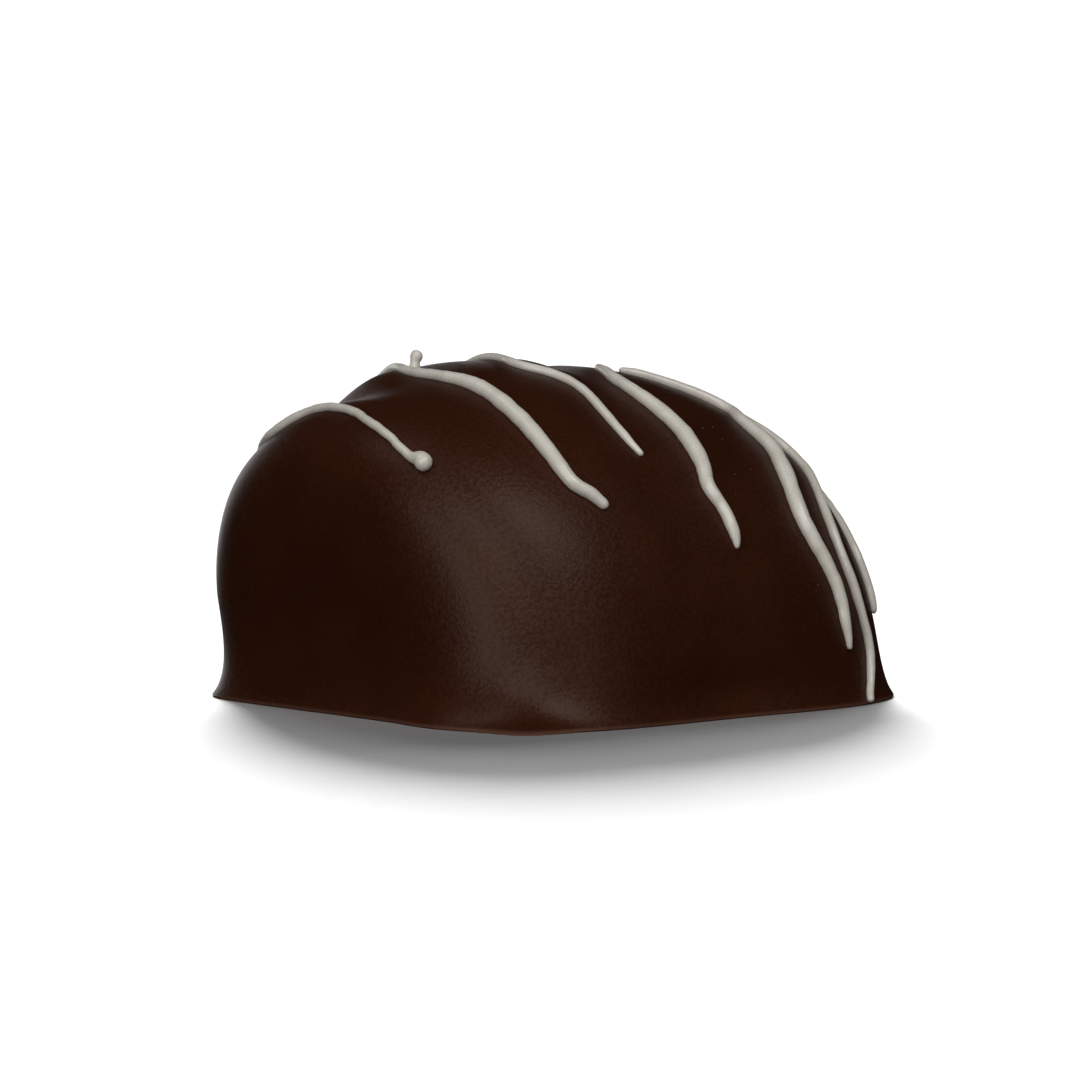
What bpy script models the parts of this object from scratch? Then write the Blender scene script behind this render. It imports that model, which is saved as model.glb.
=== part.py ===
"""A date coated in dark chocolate, with strands of white chocolate drizzled across it.

The whole sweet is one solid. The coating is the grid of a cube, moved onto a rounded block: four
unlike walls on a flared foot, under a crown that sits off the middle, with a few swells and dents.
The strands are tapered curves laid over the coating, and a Boolean union fuses them to it.

Metres, +Z up. +X runs along the date to its sloping end, -Y is its front, and it stands on Z = 0
with the origin at the middle of its base.
"""

import math
from collections import namedtuple

import bmesh
import bpy
from mathutils import Matrix, Vector
from mathutils.bvhtree import BVHTree

MM = 0.001
NODE = "chocolate_date"

# The upright axis that the walls are measured from stands off the middle of the base.
AXIS = Vector((-1.41 * MM, 0.258 * MM, 0.0))
CREASE = math.radians(35.0)

HEIGHT = 22.4 * MM
SHOULDER = 13.5 * MM  # the cube's sides reach up to here, and its top makes what is above
CROWN_SHIFT = (-1.8 * MM, 3.0 * MM)
CROWN_SQUARENESS = 2.5
SQUARENESS_FALLS = (0.25 * HEIGHT, 0.95 * HEIGHT)

FOOT_FLARE = 0.85 * MM
FOOT_HEIGHT = 1.4 * MM
FOOT_EDGE = 0.25 * MM

# Where the coating ran down and pooled: which way from the axis, how wide, how far it spread and how
# high up that fades.
Pool = namedtuple("Pool", "degrees spread reach height")
POOLS = (
    Pool(-135.0, 4.0, 1.4 * MM, 0.6 * MM),
    Pool(-152.0, 7.0, 0.7 * MM, 2.2 * MM),
    Pool(-58.0, 9.0, 0.20 * MM, 1.0 * MM),
    Pool(28.0, 12.0, 0.14 * MM, 1.0 * MM),
    Pool(133.0, 6.0, 0.12 * MM, 1.0 * MM),
    Pool(88.0, 9.0, 0.14 * MM, 1.0 * MM),
)

# A shallow hollow in the front wall, over its foot.
Hollow = namedtuple("Hollow", "degrees spread height tall depth")
HOLLOW = Hollow(-84.0, 13.0, 1.6 * MM, 1.2 * MM, 0.5 * MM)

# How far a wall stands from the axis, where it starts to curve in, and how full the curve is.
Wall = namedtuple("Wall", "reach straight fullness")
BLUNT_END = Wall(16.7 * MM, 12.0 * MM, 3.1)
LOW_END = Wall(19.9 * MM, 13.5 * MM, 1.9)
FRONT = Wall(16.9 * MM, 1.8 * MM, 2.75)
BACK = Wall(16.2 * MM, 6.5 * MM, 1.55)

# A superellipse's power for each corner, at the foot and on the wall above it: 2 is round, 8 nearly
# square. It fades from the one to the other over CORNER_FADE.
Corner = namedtuple("Corner", "foot wall")
BLUNT_FRONT_CORNER = Corner(4.5, 3.0)
BLUNT_BACK_CORNER = Corner(8.5, 8.5)
LOW_FRONT_CORNER = Corner(4.0, 4.0)
LOW_BACK_CORNER = Corner(4.0, 4.0)
CORNER_FADE = 2.5 * MM

# Unevenness of the crown: where, how wide along and across the date, and how high (a dent is below 0).
Swell = namedtuple("Swell", "x y along across rise")
SWELLS = (
    Swell(-11.7 * MM, 8.6 * MM, 1.2 * MM, 4.0 * MM, -1.15 * MM),
    Swell(-9.2 * MM, 7.6 * MM, 1.1 * MM, 2.5 * MM, 0.35 * MM),
    Swell(-5.6 * MM, 5.2 * MM, 1.8 * MM, 3.0 * MM, 0.15 * MM),
    Swell(-0.5 * MM, 2.8 * MM, 0.9 * MM, 3.0 * MM, 0.25 * MM),
    Swell(1.8 * MM, 3.0 * MM, 1.5 * MM, 5.0 * MM, -0.55 * MM),
)
SWELLS_GROW = (0.3 * HEIGHT, 0.8 * HEIGHT)

# The cube has so many squares along an edge. Rows of squares crowd towards the foot by this power.
GRID = 20
ROW_CROWDING = 1.6
ON_FACE = 0.9999  # from the middle of the cube, this far up or down lies on its top or its base

# A strand runs over the date from front to back. At each station it is so many degrees round (0 at
# the front, 90 on top, 180 at the back, seen from a line inside at CORE_HEIGHT), so many
# millimetres along the date, and of this radius, also in millimetres.
CORE_HEIGHT = 5.0 * MM
Station = namedtuple("Station", "around along radius")
STRANDS = (
    (
        Station(61, -15.5, 0.66),
        Station(64.5, -15.5, 0.66),
        Station(69, -15.8, 0.36),
        Station(76, -15.8, 0.34),
        Station(89, -15.5, 0.34),
        Station(101, -14.9, 0.34),
        Station(115, -14.7, 0.36),
        Station(128, -15.2, 0.38),
        Station(136, -14.4, 0.38),
        Station(145, -13.0, 0.40),
        Station(155, -12.2, 0.46),
    ),
    (
        Station(34, -6.2, 0.38),
        Station(38, -6.9, 0.48),
        Station(43, -8.0, 0.56),
        Station(55, -8.4, 0.64),
        Station(70, -8.6, 0.66),
        Station(80, -8.7, 0.60),
        Station(91, -9.2, 0.46),
        Station(102, -9.1, 0.40),
        Station(112, -7.9, 0.42),
        Station(126, -6.7, 0.50),
        Station(150, -7.0, 0.58),
    ),
    (
        Station(48, -1.1, 0.22),
        Station(53, -1.5, 0.30),
        Station(62, -1.7, 0.36),
        Station(74, -1.4, 0.36),
        Station(81, -1.8, 0.36),
        Station(89, -2.9, 0.36),
        Station(97, -2.3, 0.34),
        Station(111, -1.2, 0.34),
        Station(128, -0.9, 0.36),
        Station(143, -1.4, 0.32),
    ),
    (
        Station(21, 3.4, 0.16),
        Station(25, 3.5, 0.42),
        Station(32, 3.3, 0.50),
        Station(38, 2.9, 0.54),
        Station(45, 3.4, 0.62),
        Station(56, 3.5, 0.64),
        Station(68, 3.0, 0.56),
        Station(78, 3.0, 0.48),
        Station(85, 3.7, 0.42),
        Station(91, 4.4, 0.30),
    ),
    (
        Station(124, 4.9, 0.26),
        Station(133, 4.6, 0.44),
        Station(148, 4.2, 0.50),
        Station(160, 4.4, 0.56),
    ),
    (
        Station(-5, 12.1, 0.20),
        Station(1, 11.9, 0.42),
        Station(11, 11.6, 0.52),
        Station(28, 10.3, 0.62),
        Station(44, 11.1, 0.66),
        Station(53, 11.7, 0.60),
        Station(64, 11.4, 0.50),
        Station(73, 12.0, 0.48),
        Station(79, 10.8, 0.46),
        Station(84, 9.1, 0.42),
        Station(89, 7.2, 0.36),
        Station(91, 6.3, 0.26),
    ),
    (
        Station(119, 7.6, 0.26),
        Station(128, 7.9, 0.42),
        Station(146, 7.6, 0.50),
    ),
    (
        Station(-16, 13.1, 0.30),
        Station(-12, 14.0, 0.34),
        Station(-5, 14.4, 0.38),
        Station(8, 13.8, 0.40),
        Station(22, 13.4, 0.40),
        Station(36, 14.0, 0.40),
        Station(48, 15.1, 0.40),
        Station(59, 15.4, 0.40),
        Station(66, 14.5, 0.40),
        Station(74, 12.7, 0.34),
        Station(88, 11.2, 0.44),
        Station(112, 11.8, 0.38),
        Station(156, 12.9, 0.42),
    ),
    (
        Station(2, 17.0, 0.24),
        Station(8, 17.0, 0.38),
        Station(22, 16.8, 0.38),
        Station(38, 17.2, 0.36),
        Station(60, 17.8, 0.34),
        Station(100, 18.0, 0.34),
        Station(134, 17.6, 0.40),
    ),
)
STRAND_STEP = 1.1 * MM
STEPS_BETWEEN_STATIONS = 24
WELD = 0.002 * MM
STRAND_LIFT = 0.45  # how far its middle stands out of the coating, as a share of its radius
END_RINGS = (0.04, 0.2, 0.5)  # where the rings of a rounded end are, as shares of its radius

# A short tail where the white chocolate broke off, standing beside the second strand. It narrows a
# little above its foot, and its tip is round: shares of its height, and of its radius there.
TAIL_FOOT = Station(103, -8.3, 0.42)
TAIL_HEIGHT = 1.15 * MM
TAIL_LEAN = 0.35 * MM
TAIL_OUTLINE = ((-0.1, 1.0), (0.3, 0.8), (0.6, 1.0), (0.8, 0.95), (0.93, 0.7), (1.0, 0.25))


def blend(start, end, value):
    """0 below start, 1 above end, and a smooth step between."""
    t = min(max((value - start) / (end - start), 0.0), 1.0)
    return t * t * (3.0 - 2.0 * t)


def wall_reach(wall, height):
    """Distance from the axis to a wall at this height."""
    rise = max(height - wall.straight, 0.0) / (HEIGHT - wall.straight)
    dome = math.sqrt(max(1.0 - rise ** wall.fullness, 0.0))
    flare = FOOT_FLARE * math.exp(-height / FOOT_HEIGHT)
    under = max(1.0 - height / FOOT_EDGE, 0.0)
    inset = FOOT_EDGE * (1.0 - math.sqrt(1.0 - under * under))
    return wall.reach * dome + flare - inset


def squareness(low_end, back, height):
    """Superellipse power of one corner, which falls off towards the crown."""
    if low_end:
        corner = LOW_BACK_CORNER if back else LOW_FRONT_CORNER
    else:
        corner = BLUNT_BACK_CORNER if back else BLUNT_FRONT_CORNER
    wall = corner.wall + (corner.foot - corner.wall) * math.exp(-height / CORNER_FADE)
    return wall + (CROWN_SQUARENESS - wall) * blend(*SQUARENESS_FALLS, height)


def pooling(degrees, height):
    """How far the pools at the foot push the outline out."""
    total = 0.0
    for pool in POOLS:
        turn = (degrees - pool.degrees + 180.0) % 360.0 - 180.0
        total += pool.reach * math.exp(-((turn / pool.spread) ** 2) / 2.0 - height / pool.height)
    return total


def hollowing(degrees, height):
    """How far the hollow takes the outline in."""
    turn = (degrees - HOLLOW.degrees) / HOLLOW.spread
    rise = (height - HOLLOW.height) / HOLLOW.tall
    return HOLLOW.depth * math.exp(-(turn * turn + rise * rise) / 2.0)


def swelling(x, y, height):
    """How much the crown's unevenness lifts a point."""
    total = 0.0
    for swell in SWELLS:
        along = (x - swell.x) / swell.along
        across = (y - swell.y) / swell.across
        total += swell.rise * math.exp(-(along * along + across * across) / 2.0)
    return total * blend(*SWELLS_GROW, height)


def coating_point(across_x, across_y, height):
    """Point of the coating at a height, in the direction of (across_x, across_y) on a square."""
    low_end = across_x > 0.0
    back = across_y > 0.0
    reach_x = max(wall_reach(LOW_END if low_end else BLUNT_END, height), 1e-7)
    reach_y = max(wall_reach(BACK if back else FRONT, height), 1e-7)
    angle = math.atan2(across_y * reach_y, across_x * reach_x)
    power = squareness(low_end, back, height)
    sum_of_powers = abs(math.cos(angle) / reach_x) ** power + abs(math.sin(angle) / reach_y) ** power
    radius = sum_of_powers ** (-1.0 / power)
    degrees = math.degrees(angle)
    radius += pooling(degrees, height) - hollowing(degrees, height)
    lean = blend(0.0, HEIGHT, height)
    x = radius * math.cos(angle) + CROWN_SHIFT[0] * lean
    y = radius * math.sin(angle) + CROWN_SHIFT[1] * lean
    return Vector((x, y, height + swelling(x, y, height)))


def place_on_coating(corner):
    """Where a point of the cube from -1 to 1 goes: its sides make the walls, its top the crown."""
    ring = max(abs(corner.x), abs(corner.y))
    if ring < 1.0 - ON_FACE:
        x, y = CROWN_SHIFT if corner.z > 0.0 else (0.0, 0.0)
        height = HEIGHT if corner.z > 0.0 else 0.0
        return Vector((x, y, height + swelling(x, y, height)))
    if corner.z > ON_FACE:
        height = SHOULDER + (HEIGHT - SHOULDER) * (1.0 - ring * ring)
        return coating_point(corner.x, corner.y, height)
    height = SHOULDER * ((corner.z + 1.0) / 2.0) ** ROW_CROWDING
    point = coating_point(corner.x, corner.y, height)
    if corner.z < -ON_FACE:
        return point * ring
    return point


def make_material(name, colour, roughness):
    material = bpy.data.materials.new(name)
    material.use_nodes = True
    surface = material.node_tree.nodes["Principled BSDF"]
    surface.inputs["Base Color"].default_value = (*colour, 1.0)
    surface.inputs["Roughness"].default_value = roughness
    surface.inputs["Metallic"].default_value = 0.0
    return material


def make_coating(collection):
    """The chocolate, from a cube's grid. Its flat base is one face."""
    grid = bmesh.new()
    bmesh.ops.create_cube(grid, size=2.0)
    bmesh.ops.subdivide_edges(grid, edges=grid.edges[:], cuts=GRID - 1, use_grid_fill=True)
    base = [face for face in grid.faces if face.calc_center_median().z < -ON_FACE]
    for vertex in grid.verts:
        vertex.co = place_on_coating(vertex.co)
    bmesh.ops.dissolve_faces(grid, faces=base, use_verts=False)
    mesh = bpy.data.meshes.new(NODE)
    grid.to_mesh(mesh)
    grid.free()
    coating = bpy.data.objects.new(NODE, mesh)
    collection.objects.link(coating)
    return coating


def smooth_station(stations, place):
    """Station at a place between 0 and the last index, on a curve through all of them."""
    last = len(stations) - 1
    index = min(int(place), last - 1)
    t = place - index
    before = stations[max(index - 1, 0)]
    start = stations[index]
    end = stations[index + 1]
    after = stations[min(index + 2, last)]
    values = []
    for a, b, c, d in zip(before, start, end, after):
        bend = (2.0 * a - 5.0 * b + 4.0 * c - d) * t * t + (3.0 * (b - c) + d - a) * t * t * t
        values.append(0.5 * (2.0 * b + (c - a) * t + bend))
    return Station(*values)


def lay_on_coating(station, tree):
    """Point on the coating at a station, lifted by a share of the strand's radius."""
    around = math.radians(station.around)
    core = Vector((station.along * MM, 0.0, CORE_HEIGHT))
    outward = Vector((0.0, -math.cos(around), math.sin(around)))
    point, normal, _, _ = tree.ray_cast(core, outward)
    return point + normal * (station.radius * MM * STRAND_LIFT)


def strand_centreline(stations, tree):
    """Evenly spaced points and radii along one strand, with its ends rounded off."""
    fine = []
    count = STEPS_BETWEEN_STATIONS * (len(stations) - 1)
    for step in range(count + 1):
        station = smooth_station(stations, step * (len(stations) - 1) / count)
        fine.append((lay_on_coating(station, tree), station.radius * MM))
    lengths = [0.0]
    for (start, _), (end, _) in zip(fine, fine[1:]):
        lengths.append(lengths[-1] + (end - start).length)
    total = lengths[-1]
    first = fine[0][1]
    final = fine[-1][1]
    steps = max(round((total - first - final) / STRAND_STEP), 2)
    places = [share * first for share in END_RINGS]
    places += [first + (total - first - final) * step / steps for step in range(steps + 1)]
    places += [total - share * final for share in reversed(END_RINGS)]
    centreline = []
    for place in places:
        index = max(i for i, length in enumerate(lengths[:-1]) if length <= place)
        share = (place - lengths[index]) / max(lengths[index + 1] - lengths[index], 1e-9)
        point = fine[index][0].lerp(fine[index + 1][0], share)
        radius = fine[index][1] + (fine[index + 1][1] - fine[index][1]) * share
        for end_distance, end_radius in ((place, first), (total - place, final)):
            shortfall = max(1.0 - end_distance / end_radius, 0.0)
            radius *= math.sqrt(1.0 - shortfall * shortfall)
        centreline.append((point, radius))
    return centreline


def make_strand(name, centreline, collection):
    """A tapered round strand along a line of points and radii, as a closed mesh."""
    curve = bpy.data.curves.new(name, "CURVE")
    curve.dimensions = "3D"
    curve.bevel_depth = MM
    curve.bevel_resolution = 3
    curve.use_fill_caps = True
    spline = curve.splines.new("POLY")
    spline.points.add(len(centreline) - 1)
    for spline_point, (place, radius) in zip(spline.points, centreline):
        spline_point.co = (*place, 1.0)
        spline_point.radius = radius / MM
    guide = bpy.data.objects.new(name + "_path", curve)
    collection.objects.link(guide)
    depsgraph = bpy.context.evaluated_depsgraph_get()
    mesh = bpy.data.meshes.new_from_object(guide.evaluated_get(depsgraph))
    strand = bpy.data.objects.new(name, mesh)
    strand.matrix_world = guide.matrix_world
    collection.objects.link(strand)
    bpy.data.objects.remove(guide)
    caps = bmesh.new()
    caps.from_mesh(mesh)
    bmesh.ops.remove_doubles(caps, verts=caps.verts[:], dist=WELD)
    bmesh.ops.recalc_face_normals(caps, faces=caps.faces[:])
    caps.to_mesh(mesh)
    caps.free()
    return strand


def tail_centreline(tree):
    foot = lay_on_coating(TAIL_FOOT, tree)
    radius = TAIL_FOOT.radius * MM
    centreline = []
    for height, share in TAIL_OUTLINE:
        point = foot + Vector((TAIL_LEAN * height * abs(height), 0.0, TAIL_HEIGHT * height))
        centreline.append((point, radius * share))
    return centreline


def clear_scene():
    for leftover in list(bpy.data.objects):
        bpy.data.objects.remove(leftover)


def fuse(coating, strands):
    """Joins the strands to the coating in one Boolean union and applies it."""
    union = coating.modifiers.new("Fuse the strands", "BOOLEAN")
    union.operation = "UNION"
    union.operand_type = "COLLECTION"
    union.collection = strands
    union.solver = "EXACT"
    depsgraph = bpy.context.evaluated_depsgraph_get()
    fused = bpy.data.meshes.new_from_object(coating.evaluated_get(depsgraph))
    coating.modifiers.clear()
    coating.data = fused
    for strand in list(strands.objects):
        bpy.data.objects.remove(strand)
    bpy.data.collections.remove(strands)


def main():
    clear_scene()
    date = bpy.data.collections.new("Chocolate-covered date")
    strands = bpy.data.collections.new("Strands")
    bpy.context.scene.collection.children.link(date)
    bpy.context.scene.collection.children.link(strands)

    coating = make_coating(date)
    surface = bmesh.new()
    surface.from_mesh(coating.data)
    tree = BVHTree.FromBMesh(surface)
    surface.free()
    for number, stations in enumerate(STRANDS, start=1):
        make_strand(f"strand_{number}", strand_centreline(stations, tree), strands)
    make_strand("tail", tail_centreline(tree), strands)

    fuse(coating, strands)
    coating.data.transform(Matrix.Translation(AXIS))
    coating.data.materials.clear()
    coating.data.materials.append(make_material("dark chocolate", (0.022, 0.008, 0.004), 0.42))
    coating.data.shade_smooth()
    coating.data.set_sharp_from_angle(angle=CREASE)


if __name__ == "__main__":
    main()
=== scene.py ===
"""A date coated in dark chocolate, with strands of white chocolate drizzled across it.

Laid out as an add-on: the sweet's sizes and colours are properties, and one operator makes each kind
of piece. The coating is the grid of a cube moved onto four unlike walls under a crown. Geometry Nodes
then give it its ripples, lay the drizzle over it and scatter the white specks.

Metres, +Z up. +X runs along the date to its sloping end, -Y is its front, and it stands on Z = 0.
"""

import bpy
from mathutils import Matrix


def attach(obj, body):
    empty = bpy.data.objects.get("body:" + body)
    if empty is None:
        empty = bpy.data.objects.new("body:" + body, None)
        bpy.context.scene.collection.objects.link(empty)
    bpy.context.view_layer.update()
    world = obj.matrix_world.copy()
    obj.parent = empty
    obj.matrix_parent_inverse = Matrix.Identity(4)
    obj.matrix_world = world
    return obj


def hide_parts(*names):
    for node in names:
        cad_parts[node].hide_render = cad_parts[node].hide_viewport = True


bl_info = {
    "name": "Chocolate-Covered Date",
    "version": (1, 0, 0),
    "blender": (4, 5, 0),
    "location": "3D View > Sidebar > Date",
    "description": "Makes a chocolate-covered date with a white chocolate drizzle, and a small studio",
    "category": "Add Mesh",
}

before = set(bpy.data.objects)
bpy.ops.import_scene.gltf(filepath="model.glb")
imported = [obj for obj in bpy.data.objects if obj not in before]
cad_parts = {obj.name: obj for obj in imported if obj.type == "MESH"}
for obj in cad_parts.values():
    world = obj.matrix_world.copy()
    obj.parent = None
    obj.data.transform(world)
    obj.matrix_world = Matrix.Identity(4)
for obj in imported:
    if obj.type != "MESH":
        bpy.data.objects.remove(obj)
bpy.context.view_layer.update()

import math
from collections import namedtuple

import bmesh
import bpy
from bpy.props import FloatProperty, FloatVectorProperty, IntProperty, PointerProperty
from mathutils import Vector

MM = 0.001
BODY = "root"
NODE = "chocolate_date"

# The upright axis that the walls are measured from stands off the middle of the base.
AXIS = Vector((-1.41 * MM, 0.258 * MM, 0.0))

HEIGHT = 22.4 * MM
SHOULDER = 13.5 * MM  # the cube's sides reach up to here, and its top makes what is above
CROWN_SHIFT = (-1.8 * MM, 3.0 * MM)
CROWN_SQUARENESS = 2.5
SQUARENESS_FALLS = (0.25 * HEIGHT, 0.95 * HEIGHT)

FOOT_FLARE = 0.82 * MM
FOOT_HEIGHT = 1.4 * MM
FOOT_EDGE = 0.25 * MM

# Where the coating ran down and pooled: which way from the axis, how wide, how far it spread and how
# high up that fades.
Pool = namedtuple("Pool", "degrees spread reach height")
POOLS = (
    Pool(-135.0, 4.0, 1.4 * MM, 0.6 * MM),
    Pool(-152.0, 7.0, 0.7 * MM, 2.2 * MM),
    Pool(-58.0, 9.0, 0.20 * MM, 1.0 * MM),
    Pool(28.0, 12.0, 0.14 * MM, 1.0 * MM),
    Pool(133.0, 6.0, 0.12 * MM, 1.0 * MM),
    Pool(88.0, 9.0, 0.14 * MM, 1.0 * MM),
)

# A shallow hollow in the front wall, over its foot.
Hollow = namedtuple("Hollow", "degrees spread height tall depth")
HOLLOW = Hollow(-84.0, 13.0, 1.6 * MM, 1.2 * MM, 0.5 * MM)

# How far a wall stands from the axis, where it starts to curve in, and how full the curve is.
Wall = namedtuple("Wall", "reach straight fullness")
BLUNT_END = Wall(16.69 * MM, 12.0 * MM, 3.1)
LOW_END = Wall(19.9 * MM, 13.5 * MM, 1.9)
FRONT = Wall(16.9 * MM, 1.8 * MM, 2.75)
BACK = Wall(16.2 * MM, 6.5 * MM, 1.55)

# A superellipse's power for each corner, at the foot and on the wall above it: 2 is round, 8 nearly
# square. It fades from the one to the other over CORNER_FADE.
Corner = namedtuple("Corner", "foot wall")
BLUNT_FRONT_CORNER = Corner(4.5, 3.0)
BLUNT_BACK_CORNER = Corner(8.5, 8.5)
LOW_FRONT_CORNER = Corner(4.0, 4.0)
LOW_BACK_CORNER = Corner(4.0, 4.0)
CORNER_FADE = 2.5 * MM

# Unevenness of the crown: where, how wide along and across the date, and how high (a dent is below 0).
Swell = namedtuple("Swell", "x y along across rise")
SWELLS = (
    Swell(-11.7 * MM, 8.6 * MM, 1.2 * MM, 4.0 * MM, -1.15 * MM),
    Swell(-9.2 * MM, 7.6 * MM, 1.1 * MM, 2.5 * MM, 0.35 * MM),
    Swell(-5.6 * MM, 5.2 * MM, 1.8 * MM, 3.0 * MM, 0.15 * MM),
    Swell(-0.5 * MM, 2.8 * MM, 0.9 * MM, 3.0 * MM, 0.25 * MM),
    Swell(1.8 * MM, 3.0 * MM, 1.5 * MM, 5.0 * MM, -0.55 * MM),
)
SWELLS_GROW = (0.3 * HEIGHT, 0.8 * HEIGHT)

# Rows of the cube's squares crowd towards the foot by this power.
ROW_CROWDING = 1.6
ON_FACE = 0.9999  # from the middle of the cube, this far up or down lies on its top or its base
LEAST_REACH = 1e-7  # keeps the crown's very top from dividing by nothing

# A strand runs over the date from front to back. At each station it is so many degrees round (0 at
# the front, 90 on top, 180 at the back, seen from a line inside at CORE_HEIGHT), so many
# millimetres along the date, and of this radius, also in millimetres.
CORE_HEIGHT = 5.0 * MM
Station = namedtuple("Station", "around along radius")
STRANDS = (
    (
        Station(61, -15.5, 0.66),
        Station(64.5, -15.5, 0.66),
        Station(69, -15.8, 0.36),
        Station(76, -15.8, 0.34),
        Station(89, -15.5, 0.34),
        Station(101, -14.9, 0.34),
        Station(115, -14.7, 0.36),
        Station(128, -15.2, 0.38),
        Station(136, -14.4, 0.38),
        Station(145, -13.0, 0.40),
        Station(155, -12.2, 0.46),
    ),
    (
        Station(34, -6.2, 0.38),
        Station(38, -6.9, 0.48),
        Station(43, -8.0, 0.56),
        Station(55, -8.4, 0.64),
        Station(70, -8.6, 0.66),
        Station(80, -8.7, 0.60),
        Station(91, -9.2, 0.46),
        Station(102, -9.1, 0.40),
        Station(112, -7.9, 0.42),
        Station(126, -6.7, 0.50),
        Station(150, -7.0, 0.58),
    ),
    (
        Station(48, -1.1, 0.22),
        Station(53, -1.5, 0.30),
        Station(62, -1.7, 0.36),
        Station(74, -1.4, 0.36),
        Station(81, -1.8, 0.36),
        Station(89, -2.9, 0.36),
        Station(97, -2.3, 0.34),
        Station(111, -1.2, 0.34),
        Station(128, -0.9, 0.36),
        Station(143, -1.4, 0.32),
    ),
    (
        Station(21, 3.4, 0.16),
        Station(25, 3.5, 0.42),
        Station(32, 3.3, 0.50),
        Station(38, 2.9, 0.54),
        Station(45, 3.4, 0.62),
        Station(56, 3.5, 0.64),
        Station(68, 3.0, 0.56),
        Station(78, 3.0, 0.48),
        Station(85, 3.7, 0.42),
        Station(91, 4.4, 0.30),
    ),
    (
        Station(124, 4.9, 0.26),
        Station(133, 4.6, 0.44),
        Station(148, 4.2, 0.50),
        Station(160, 4.4, 0.56),
    ),
    (
        Station(-5, 12.1, 0.20),
        Station(1, 11.9, 0.42),
        Station(11, 11.6, 0.52),
        Station(28, 10.3, 0.62),
        Station(44, 11.1, 0.66),
        Station(53, 11.7, 0.60),
        Station(64, 11.4, 0.50),
        Station(73, 12.0, 0.48),
        Station(79, 10.8, 0.46),
        Station(84, 9.1, 0.42),
        Station(89, 7.2, 0.36),
        Station(91, 6.3, 0.26),
    ),
    (
        Station(119, 7.6, 0.26),
        Station(128, 7.9, 0.42),
        Station(146, 7.6, 0.50),
    ),
    (
        Station(-16, 13.1, 0.30),
        Station(-12, 14.0, 0.34),
        Station(-5, 14.4, 0.38),
        Station(8, 13.8, 0.40),
        Station(22, 13.4, 0.40),
        Station(36, 14.0, 0.40),
        Station(48, 15.1, 0.40),
        Station(59, 15.4, 0.40),
        Station(66, 14.5, 0.40),
        Station(74, 12.7, 0.34),
        Station(88, 11.2, 0.44),
        Station(112, 11.8, 0.38),
        Station(156, 12.9, 0.42),
    ),
    (
        Station(2, 17.0, 0.24),
        Station(8, 17.0, 0.38),
        Station(22, 16.8, 0.38),
        Station(38, 17.2, 0.36),
        Station(60, 17.8, 0.34),
        Station(100, 18.0, 0.34),
        Station(134, 17.6, 0.40),
    ),
)

# A short tail where the white chocolate broke off, standing beside the second strand. It narrows a
# little above its foot, and its tip is round: shares of its height, and of its radius there.
TAIL_FOOT = Station(103, -8.3, 0.42)
TAIL_HEIGHT = 1.06 * MM
TAIL_LEAN = 0.35 * MM
TAIL_OUTLINE = (
    (-0.1, 1.0), (0.1, 0.88), (0.3, 0.8), (0.45, 0.88), (0.6, 1.0), (0.72, 1.0), (0.82, 0.93),
    (0.9, 0.78), (0.96, 0.5), (1.0, 0.1),
)

# White specks that the drizzle's nozzle spat on the coating, placed and sized like the stations.
SPECKS = (
    Station(54.6, 2.3, 0.05),
    Station(57.4, 6.1, 0.06),
    Station(58.3, 7.2, 0.05),
    Station(53.7, 7.2, 0.04),
    Station(41.6, 6.1, 0.05),
    Station(43.4, 7.9, 0.04),
    Station(35.7, 5.2, 0.04),
    Station(11.0, 10.0, 0.05),
    Station(118.6, -16.8, 0.05),
    Station(98.4, -15.5, 0.04),
)

# The camera looks at the middle of the sweet from the left of its front, a little above the floor.
CAMERA_AZIMUTH = math.radians(40.83)
CAMERA_ELEVATION = math.radians(4.53)
CAMERA_DISTANCE = 420 * MM
CAMERA_TARGET = AXIS + Vector((0.0, 0.0, 12.0 * MM))
CAMERA_LENS = 211.4  # mm, on a sensor 36 mm wide
CAMERA_SHIFT = (-0.0088, -0.0208)

# Finishes: how wide the clouds, grain and pits are, how deep the small ones, and how far the painted
# reflection of the floor, a thin lighter edge, reaches up the coating's foot.
DARK_CLOUD_SIZE = 5.0 * MM
PIT_SIZE = 0.25 * MM
PIT_DEPTH = 0.006 * MM
FOOT_PAINTED_REFLECTION_FADES = (0.05 * MM, 0.35 * MM)
ROUGHNESS_SPREAD = 0.05
SHEEN_TINT = (1.0, 0.8, 0.68, 1.0)
WHITE_CLOUD_SIZE = 1.4 * MM
WHITE_GRAIN_SIZE = 0.16 * MM
WHITE_GRAIN_DEPTH = 0.006 * MM
WHITE_ROUGHNESS = (0.24, 0.36)
WHITE_SHEEN = 0.75
FLOOR_TOOTH_SIZE = 1.5 * MM
FLOOR_SHADE = 0.985  # share of the floor's colour in its darker spots

# Points of a strand's skin closer than this are welded.
WELD_DISTANCE = 0.002 * MM

# A crumb's three widths as shares of its radius, at least and at most, and how far its dents go in.
CRUMB_LEAST = (0.8, 0.7, 0.6)
CRUMB_MOST = (1.3, 1.1, 0.9)
CRUMB_DENT = 0.6
CRUMB_DENT_SCALE = 0.9

FLOOR_RADIUS = 3.0
FLOOR_SIDES = 96

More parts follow.
